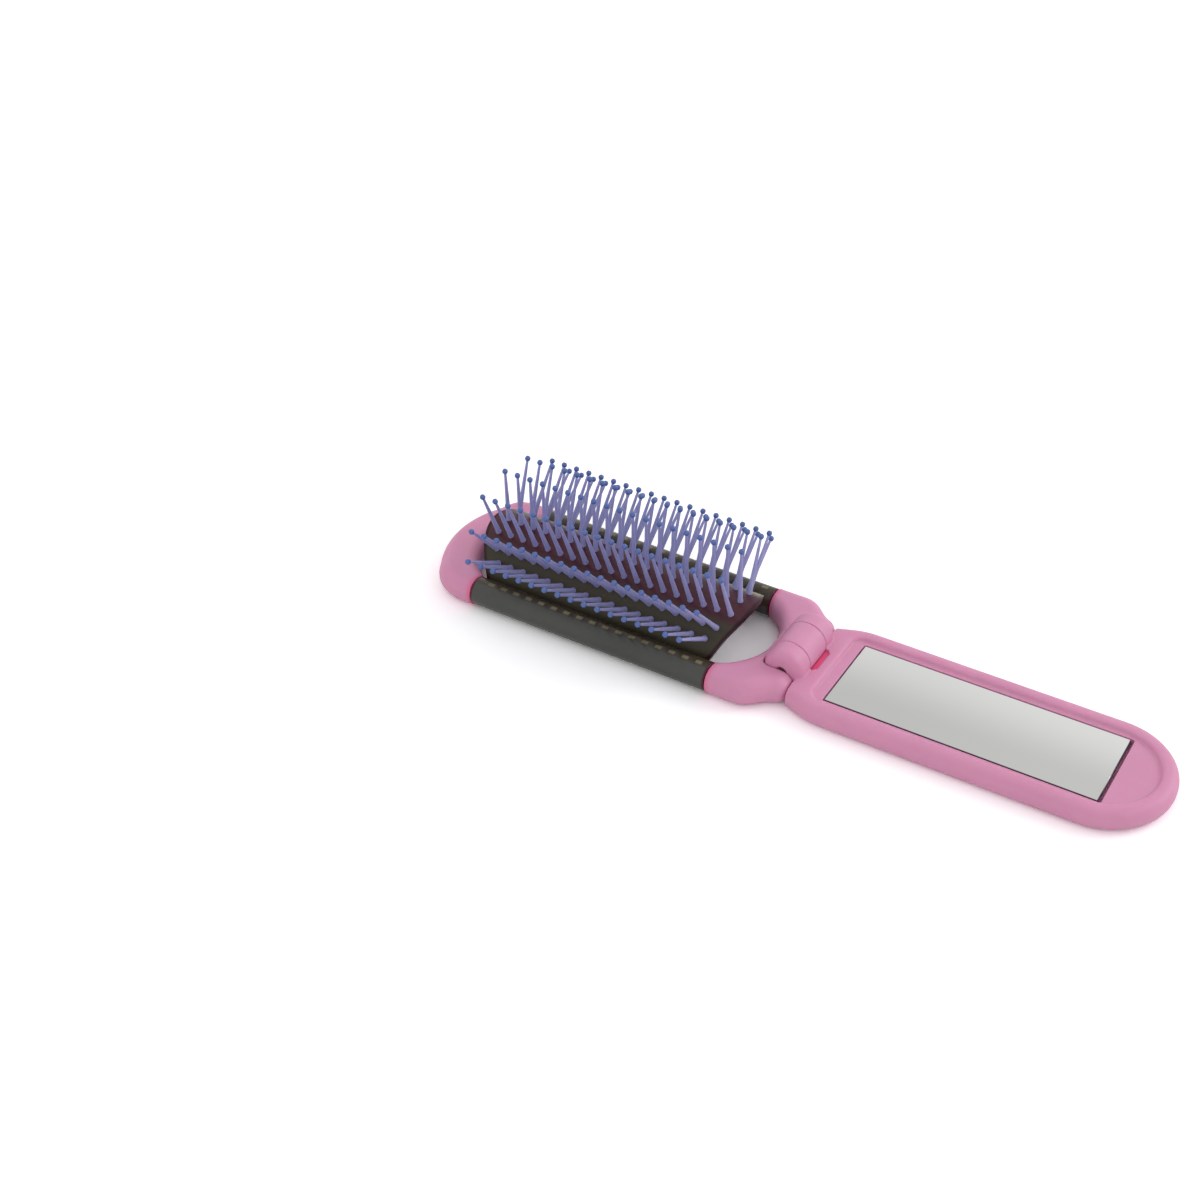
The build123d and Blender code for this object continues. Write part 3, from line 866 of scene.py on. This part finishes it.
class HAIRBRUSH_OT_sheet(Operator):
    """Model the arched sheet in the seven strips that move with the rows"""

    bl_idname = "hairbrush.sheet"
    bl_label = "Bristle sheet"

    def execute(self, context):
        settings = context.scene.hairbrush.sheet
        material = smoky_sheet(settings)
        folds = [(a + b) / 2 for a, b in zip(ROW_ANGLES, ROW_ANGLES[1:])]
        hem = math.degrees(settings.hem_angle)
        edges = [-hem, *folds, hem]
        for number, (low, high) in enumerate(zip(edges, edges[1:]), start=1):
            strip = self.strip(settings, math.radians(low), math.radians(high), number)
            set_material(strip, material)
            place_piece(strip, f"row_{number}", "smoky_sheet", f"sheet_strip_{number}")
        return {"FINISHED"}

    def strip(self, settings, low, high, number):
        """The sheet between two angles from the crown."""
        arch_z = CROWN_HIGH.z - settings.arch_radius
        radius = settings.arch_radius
        steps = max(4, round(math.degrees(high - low) / STRIP_STEP))
        bpy.ops.mesh.primitive_plane_add(size=1)
        strip = bpy.context.object
        bpy.ops.object.mode_set(mode="EDIT")
        select_points(strip, lambda co: co.y > 0)
        bpy.ops.mesh.delete(type="VERT")
        bpy.ops.mesh.select_all(action="SELECT")
        bpy.ops.mesh.subdivide(number_cuts=STRIP_CUTS)
        # the line stands on the arch at its low angle
        bpy.ops.transform.resize(value=(2 * SHEET_HALF, 1, 1), center_override=(0, -0.5, 0))
        start = Vector((SHEET_X, radius * math.sin(low), arch_z + radius * math.cos(low)))
        bpy.ops.transform.translate(value=start - Vector((0, -0.5, 0)))
        bpy.ops.mesh.spin(
            steps=steps, angle=high - low, center=(0, 0, arch_z), axis=(1, 0, 0), dupli=False)
        side = {1: -1, len(ROW_ANGLES): 1}.get(number)
        if side:
            self.run_on(strip, settings, side)
        self.round_ends(strip, settings)
        bpy.ops.object.mode_set(mode="OBJECT")
        outward(strip)
        add_modifier(
            strip, "SOLIDIFY", thickness=settings.thickness, offset=-1, use_even_offset=True)
        strip.name = f"sheet_part_{number}"
        strip.data.name = strip.name
        smooth(strip, degrees=35)
        return strip

    def run_on(self, strip, settings, side):
        """Carry the outer edge of the arch straight on into the hem's wall."""
        arch_z = CROWN_HIGH.z - settings.arch_radius
        lean = settings.hem_angle
        edge_y = side * settings.arch_radius * math.sin(lean)
        edge_z = arch_z + settings.arch_radius * math.cos(lean)
        length = (HEM_Y - abs(edge_y)) * math.cos(lean) + (edge_z - HEM_Z) * math.sin(lean)
        length -= HEM_LAP
        stride = length / RUN_ON_STEPS
        for step in range(RUN_ON_STEPS):
            reach = stride * step
            y = edge_y + side * reach * math.cos(lean)
            z = edge_z - reach * math.sin(lean)
            select_points(
                strip, lambda co: max(abs(co.y - y), abs(co.z - z)) < 10 * TOLERANCE)
            move = (0, side * stride * math.cos(lean), -stride * math.sin(lean))
            bpy.ops.mesh.extrude_edges_move(TRANSFORM_OT_translate={"value": move})

    def round_ends(self, strip, settings):
        """Draw each line of the strip in or out, so that the ends follow their plan radius."""
        lines = {}
        for vert in bmesh.from_edit_mesh(strip.data).verts:
            lines[round(vert.co.y / MM, 3)] = vert.co.y
        for y in lines.values():
            end_centre = SHEET_HALF - settings.end_radius
            reach = end_centre + math.sqrt(settings.end_radius**2 - y**2)
            select_points(strip, lambda co: abs(co.y - y) < TOLERANCE)
            bpy.ops.transform.resize(
                value=(reach / SHEET_HALF, 1, 1), center_override=(SHEET_X, 0, 0))


# ------------------------------------------------------------- hems


class HAIRBRUSH_OT_hems(Operator):
    """Model the two tubular hems"""

    bl_idname = "hairbrush.hems"
    bl_label = "Hem tubes"

    def execute(self, context):
        settings = context.scene.hairbrush.hems
        material = smoky_hem(settings, context.scene.hairbrush.bristles.pitch)
        length = HEM_HIGH.x - HEM_LOW.x
        for side, name, body in ((-1, "near", "row_1"), (1, "far", "row_7")):
            bpy.ops.mesh.primitive_cylinder_add(
                vertices=64, radius=HEM_RADIUS, depth=length, end_fill_type="NOTHING",
                location=(HEM_MIDDLE, side * HEM_Y, HEM_Z),
                rotation=(0, math.radians(90), 0))
            hem = join([bpy.context.object], f"hem_{name}")
            outward(hem)
            wall = HEM_RADIUS - settings.bore_radius
            add_modifier(hem, "SOLIDIFY", thickness=wall, offset=-1, use_even_offset=True)
            add_modifier(
                hem, "BEVEL", width=settings.rim_rounding, segments=3, limit_method="ANGLE")
            set_material(hem, material)
            smooth(hem)
            place_piece(hem, body, "dark_hem", f"hem_tube_{name}")
        return {"FINISHED"}


# ------------------------------------------------------------- pink mouldings


class HAIRBRUSH_OT_mouldings(Operator):
    """Soften the edges of the bow, the yoke and the handle as a mould leaves them"""

    bl_idname = "hairbrush.mouldings"
    bl_label = "Pink mouldings"

    def execute(self, context):
        settings = context.scene.hairbrush.mouldings
        material = pink_plastic(settings)
        bodies = {"end_bow": "frame", "hinge_yoke": "frame", "handle_shell": "handle"}
        for node, body in bodies.items():
            piece = self.soften(context, node, settings.grid)
            set_material(piece, material)
            place_piece(piece, body, "pink_plastic", node)
        # the slot's floor is coloured with the painted glow of light through thin pink plastic
        floor = self.slot_floor()
        set_material(floor, painted_glow_pink(settings))
        smooth(floor, degrees=30)
        place_piece(floor, "handle", "pink_plastic")
        return {"FINISHED"}

    def soften(self, context, node, grid):
        """A copy of a moulding on a fine even grid, which eases its sharp edges."""
        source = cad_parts[node]
        piece = source.copy()
        piece.data = source.data.copy()
        for key in list(piece.keys()):
            del piece[key]
        piece.parent = None
        context.collection.objects.link(piece)
        outward(piece)
        if node == "handle_shell":
            self.close_hinge(piece)
        piece.name = f"moulded_{node}"
        piece.data.name = piece.name
        add_modifier(piece, "REMESH", mode="VOXEL", voxel_size=grid, use_smooth_shade=True)
        add_modifier(piece, "SMOOTH", factor=SOFTEN_FACTOR, iterations=SOFTEN_STEPS)
        faces = len(piece.data.polygons)
        if faces > MOST_FACES:
            add_modifier(piece, "DECIMATE", ratio=MOST_FACES / faces)
        if node == "end_bow":
            self.fill_corners(piece)
        if node == "handle_shell":
            self.ease_dish(piece)
        make_active(piece)
        bpy.ops.object.shade_smooth()
        return piece

    def fill_corners(self, bow):
        """Fill out the bow's two outer corners, raise them a little and draw its end in."""
        height = 2 * HEM_Z
        for vert in bow.data.vertices:
            side = math.copysign(1.0, vert.co.y)
            corner = Vector((BOW_CORNER[0], side * BOW_CORNER[1]))
            near = max(0.0, 1 - (vert.co.xy - corner).length / CORNER_REACH)
            weight = near * near * (3 - 2 * near)
            vert.co.x -= weight * CORNER_FILL
            vert.co.y += side * weight * CORNER_FILL
            vert.co.z += weight * CORNER_RISE * max(0.0, vert.co.z) / height
            vert.co.x += BOW_TAPER * max(0.0, BOW_TAPER_X - vert.co.x)

    def ease_dish(self, shell):
        """Ease the far slope of the dish, clear of the mirror's pocket."""
        group = shell.vertex_groups.new(name="slope")
        slope = [
            vert.index for vert in shell.data.vertices
            if vert.co.x > MIRROR_LOW.x and vert.co.y > MIRROR_HIGH.y + DISH_EASE_GAP
            and vert.co.z > DISH_EASE_Z]
        group.add(slope, 1.0, "REPLACE")
        add_modifier(
            shell, "SMOOTH", factor=SOFTEN_FACTOR, iterations=DISH_EASE_STEPS,
            vertex_group=group.name)

    def close_hinge(self, shell):
        """Cap both ends of the hinge pin, and carry the slot to its far wall."""
        radius = (HINGE_HIGH.z - HINGE_LOW.z) / 2 + CAP_LAP
        cap_y = HINGE_HIGH.y + CAP_THICK / 2 + CAP_GAP
        pieces = [shell]
        for side in (-1, 1):
            bpy.ops.mesh.primitive_cylinder_add(
                vertices=32, radius=radius, depth=CAP_THICK,
                location=(HINGE.x, side * cap_y, HINGE.z), rotation=(math.radians(90), 0, 0))
            pieces.append(bpy.context.object)
        join(pieces, shell.name)
        bpy.ops.mesh.primitive_cube_add(size=1)
        cutter = bpy.context.object
        cutter.scale = SLOT_CUT
        cutter.location = (SLOT_WALL_X - SLOT_CUT[0] / 2, 0, SLOT_FLOOR_Z + SLOT_CUT_RISE)
        add_modifier(shell, "BOOLEAN", operation="DIFFERENCE", object=cutter, solver="EXACT")
        bpy.data.objects.remove(cutter)

    def slot_floor(self):
        """The thin floor of the handle's slot, beside the central knuckle."""
        bpy.ops.mesh.primitive_cube_add(size=1)
        floor = bpy.context.object
        start = HINGE.x + SLOT_FLOOR_START
        end = SLOT_WALL_X + SLOT_FLOOR_LAP
        floor.scale = (end - start, SLOT_FLOOR_WIDTH, SLOT_FLOOR_THICK)
        floor.location = ((start + end) / 2, 0, SLOT_FLOOR_Z - SLOT_FLOOR_THICK / 2)
        floor = join([floor], "slot_floor")
        bpy.ops.mesh.primitive_cylinder_add(
            vertices=96, radius=KNUCKLE_ROOM, depth=4 * SLOT_HALF,
            location=(HINGE.x, 0, HINGE.z), rotation=(math.radians(90), 0, 0))
        room = bpy.context.object
        add_modifier(floor, "BOOLEAN", operation="DIFFERENCE", object=room, solver="EXACT")
        bpy.data.objects.remove(room)
        add_modifier(floor, "BEVEL", width=SLOT_FLOOR_BEVEL, segments=2, limit_method="ANGLE")
        return floor


# ------------------------------------------------------------- mirror, steel and pad


class HAIRBRUSH_OT_mirror(Operator):
    """Model the mirror plate with its ground edges"""

    bl_idname = "hairbrush.mirror"
    bl_label = "Mirror"

    def execute(self, context):
        settings = context.scene.hairbrush.mirror
        bpy.ops.mesh.primitive_cube_add(size=1, location=(MIRROR_LOW + MIRROR_HIGH) / 2)
        plate = bpy.context.object
        plate.scale = MIRROR_HIGH - MIRROR_LOW
        plate = join([plate], "mirror_plate")
        add_modifier(plate, "BEVEL", width=settings.bevel, segments=2)
        set_material(plate, silver_mirror(settings))
        smooth(plate, degrees=20)
        place_piece(plate, "handle", "mirror", "mirror")
        return {"FINISHED"}


class HAIRBRUSH_OT_hardware(Operator):
    """Finish the steel rods, the hinge pin and the mirror's pad"""

    bl_idname = "hairbrush.hardware"
    bl_label = "Steel and pad"

    def execute(self, context):
        settings = context.scene.hairbrush.hardware
        steel = drawn_steel(settings)
        for node in ("side_rod_near", "side_rod_far", "hinge_pin"):
            set_material(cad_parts[node], steel)
        set_material(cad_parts["mirror_pad"], foam_pad(settings))
        return {"FINISHED"}


# ------------------------------------------------------------- stage


class HAIRBRUSH_OT_stage(Operator):
    """Set the floor, the lamp, the world's light and the camera"""

    bl_idname = "hairbrush.stage"
    bl_label = "Stage"

    def execute(self, context):
        settings = context.scene.hairbrush.stage
        context.scene.view_settings.view_transform = "Standard"
        self.floor(settings)
        self.lamp(settings)
        self.world(context, settings)
        self.camera(context, settings)
        return {"FINISHED"}

    def floor(self, settings):
        """A white table under the hairbrush."""
        bpy.ops.mesh.primitive_plane_add(size=settings.floor_size, location=(0, 0, CAD_BOX[0].z))
        floor = bpy.context.object
        floor.name = "floor"
        set_material(floor, white_table(settings))

    def lamp(self, settings):
        """A weak soft lamp that faces the origin."""
        bpy.ops.object.light_add(type="AREA", location=settings.key_place)
        lamp = bpy.context.object
        lamp.name = "key"
        lamp.data.size = settings.key_size
        lamp.data.energy = settings.key_power
        lamp.rotation_euler = (-Vector(settings.key_place)).to_track_quat("-Z", "Y").to_euler()

    def world(self, context, settings):
        """Even light from all round, seen as plain white by the camera and in reflections."""
        world = bpy.data.worlds.new("studio")
        context.scene.world = world
        world.use_nodes = True
        tree = world.node_tree
        tree.nodes.clear()
        link = tree.links.new
        soft = add_node(tree, "ShaderNodeBackground", {"Strength": settings.world_strength})
        white = add_node(tree, "ShaderNodeBackground", {"Strength": 1.0})
        path = add_node(tree, "ShaderNodeLightPath")
        seen = calculate(
            tree, "MAXIMUM", path.outputs["Is Camera Ray"], path.outputs["Is Glossy Ray"])
        mix = add_node(tree, "ShaderNodeMixShader")
        link(seen, mix.inputs[0])
        link(soft.outputs[0], mix.inputs[1])
        link(white.outputs[0], mix.inputs[2])
        output = add_node(tree, "ShaderNodeOutputWorld")
        link(mix.outputs[0], output.inputs["Surface"])

    def camera(self, context, settings):
        """A camera at the settings' place and angles."""
        bpy.ops.object.camera_add(location=settings.camera_place)
        camera = bpy.context.object
        camera.name = "camera"
        flat = math.cos(settings.elevation)
        back = Vector((
            math.sin(settings.azimuth) * flat,
            -math.cos(settings.azimuth) * flat,
            math.sin(settings.elevation)))
        camera.rotation_euler = (-back).to_track_quat("-Z", "Y").to_euler()
        camera.data.sensor_width = settings.sensor_width
        camera.data.lens = settings.lens
        camera.data.shift_x, camera.data.shift_y = settings.lens_shift
        camera.data.clip_start = 0.01
        context.scene.camera = camera


# ------------------------------------------------------------- panel and registration


class HAIRBRUSH_PT_panel(Panel):
    """Builds the hairbrush piece by piece"""

    bl_label = "Folding hairbrush"
    bl_idname = "HAIRBRUSH_PT_panel"
    bl_space_type = "VIEW_3D"
    bl_region_type = "UI"
    bl_category = "Hairbrush"

    def draw(self, context):
        settings = context.scene.hairbrush
        for operator, group in BUILD_STEPS:
            box = self.layout.box()
            box.operator(operator.bl_idname)
            values = getattr(settings, group)
            for name in values.__annotations__:
                box.prop(values, name)


BUILD_STEPS = (
    (HAIRBRUSH_OT_mouldings, "mouldings"),
    (HAIRBRUSH_OT_hems, "hems"),
    (HAIRBRUSH_OT_sheet, "sheet"),
    (HAIRBRUSH_OT_bristles, "bristles"),
    (HAIRBRUSH_OT_mirror, "mirror"),
    (HAIRBRUSH_OT_hardware, "hardware"),
    (HAIRBRUSH_OT_stage, "stage"),
)

CLASSES = (
    BristleSettings,
    SheetSettings,
    HemSettings,
    MouldingSettings,
    MirrorSettings,
    HardwareSettings,
    StageSettings,
    HairbrushSettings,
    *(operator for operator, _ in BUILD_STEPS),
    HAIRBRUSH_PT_panel,
)


def register():
    """Register the classes and hang the settings on the scene."""
    for cls in CLASSES:
        bpy.utils.register_class(cls)
    bpy.types.Scene.hairbrush = PointerProperty(type=HairbrushSettings)


def unregister():
    """Undo what register did."""
    del bpy.types.Scene.hairbrush
    for cls in reversed(CLASSES):
        bpy.utils.unregister_class(cls)


def main():
    """Build every piece in order."""
    register()
    moulded_surface_group()
    for operator, _ in BUILD_STEPS:
        family, step = operator.bl_idname.split(".")
        getattr(getattr(bpy.ops, family), step)()
    bpy.context.view_layer.update()


if __name__ == "__main__":
    main()
